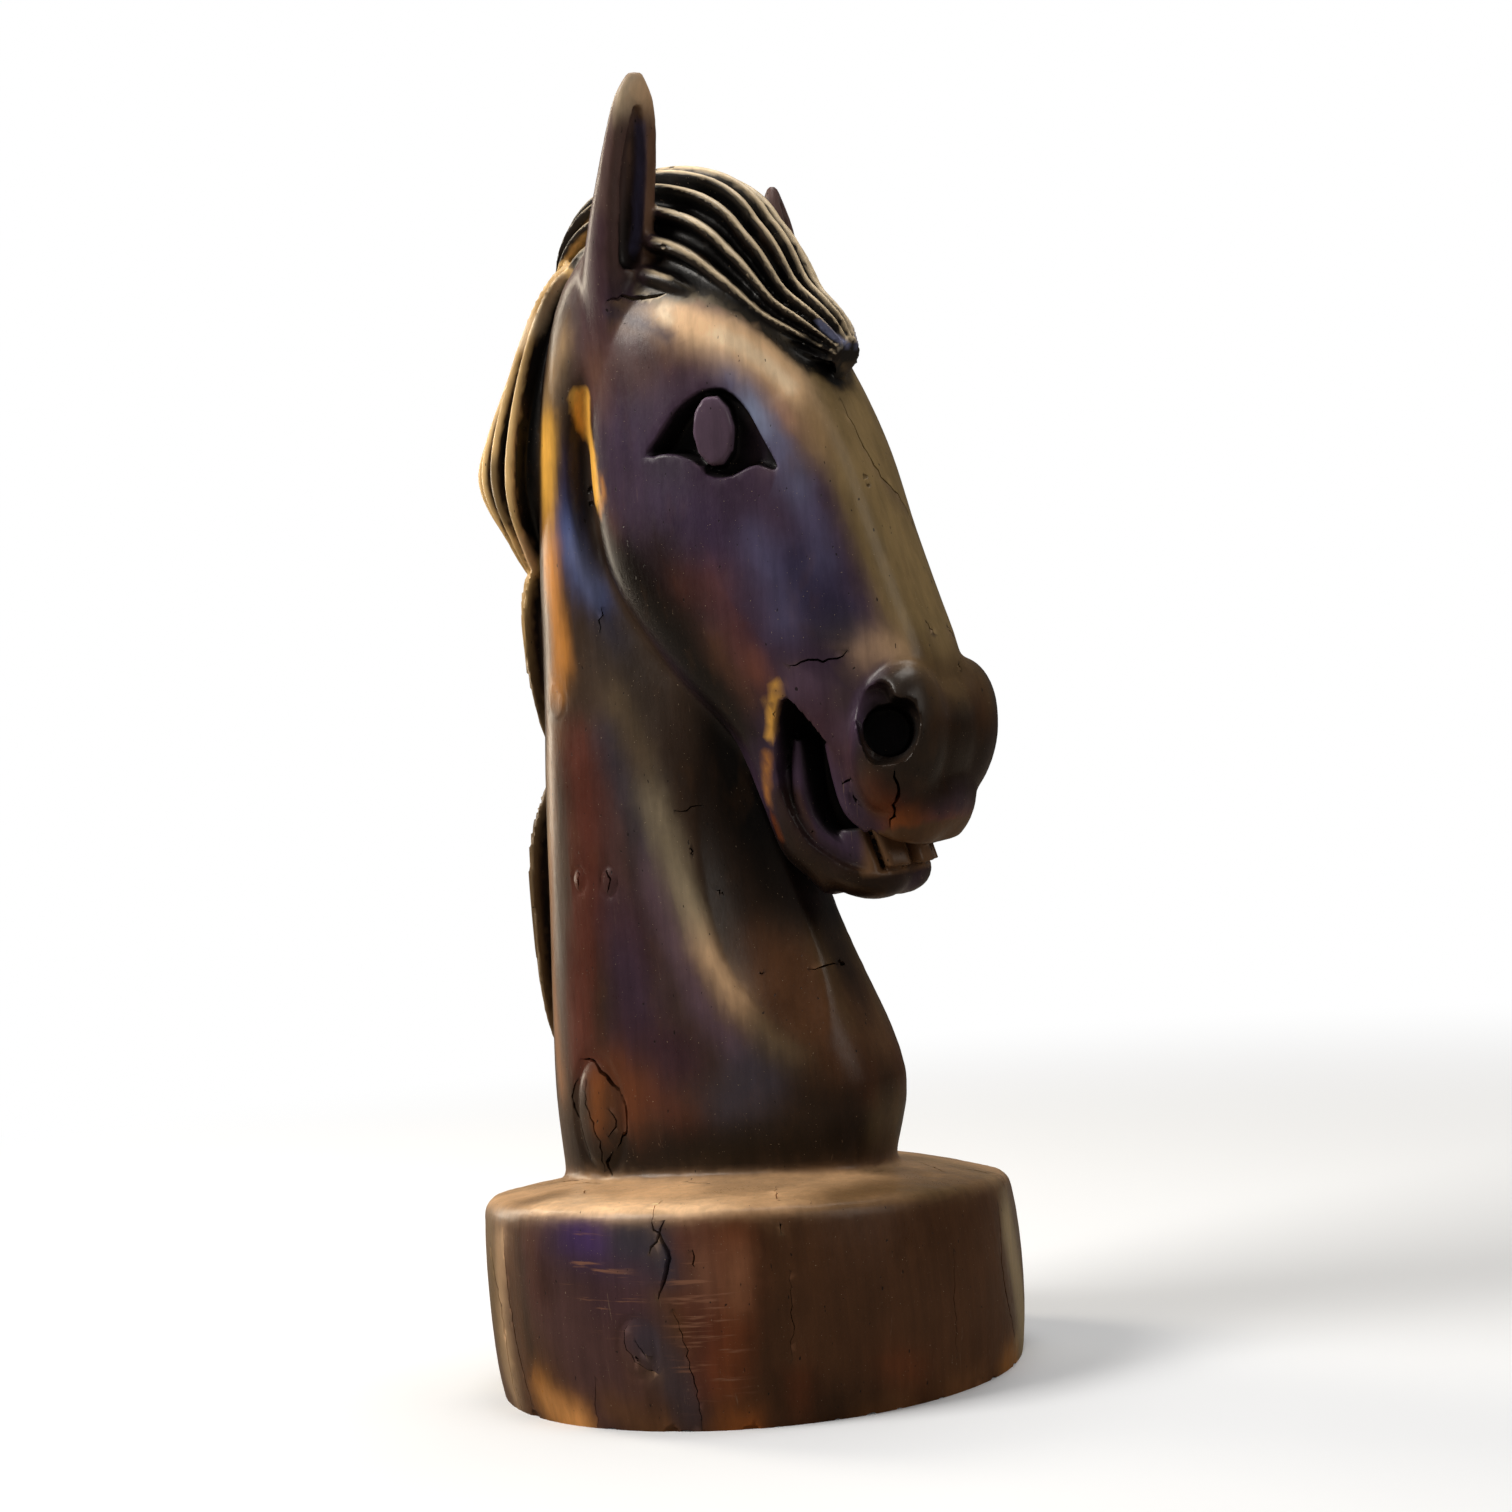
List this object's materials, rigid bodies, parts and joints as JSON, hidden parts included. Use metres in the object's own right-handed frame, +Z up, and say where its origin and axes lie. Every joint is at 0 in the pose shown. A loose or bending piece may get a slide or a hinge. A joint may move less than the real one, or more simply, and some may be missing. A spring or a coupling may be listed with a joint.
{
  "type": "wooden horse sculpture",
  "caption": "Horse's head and neck with ears, forelock and mane, carved with its round base from one stained log, which stands on its flat underside.",
  "frame": {"origin": "centre of the log's flat underside, on the surface that it stands on", "axes": "+X towards the nose, +Y to the horse's left, +Z up"},
  "size_m": [0.259, 0.2405, 0.5743],
  "materials": {
    "stained_wood": "Dark stained and lacquered wood with amber, blue, purple and rust tones, tan on the face and the top of the base."
  },
  "bodies": {
    "root": {"horse_sculpture": "stained_wood"}
  },
  "joints": []
}
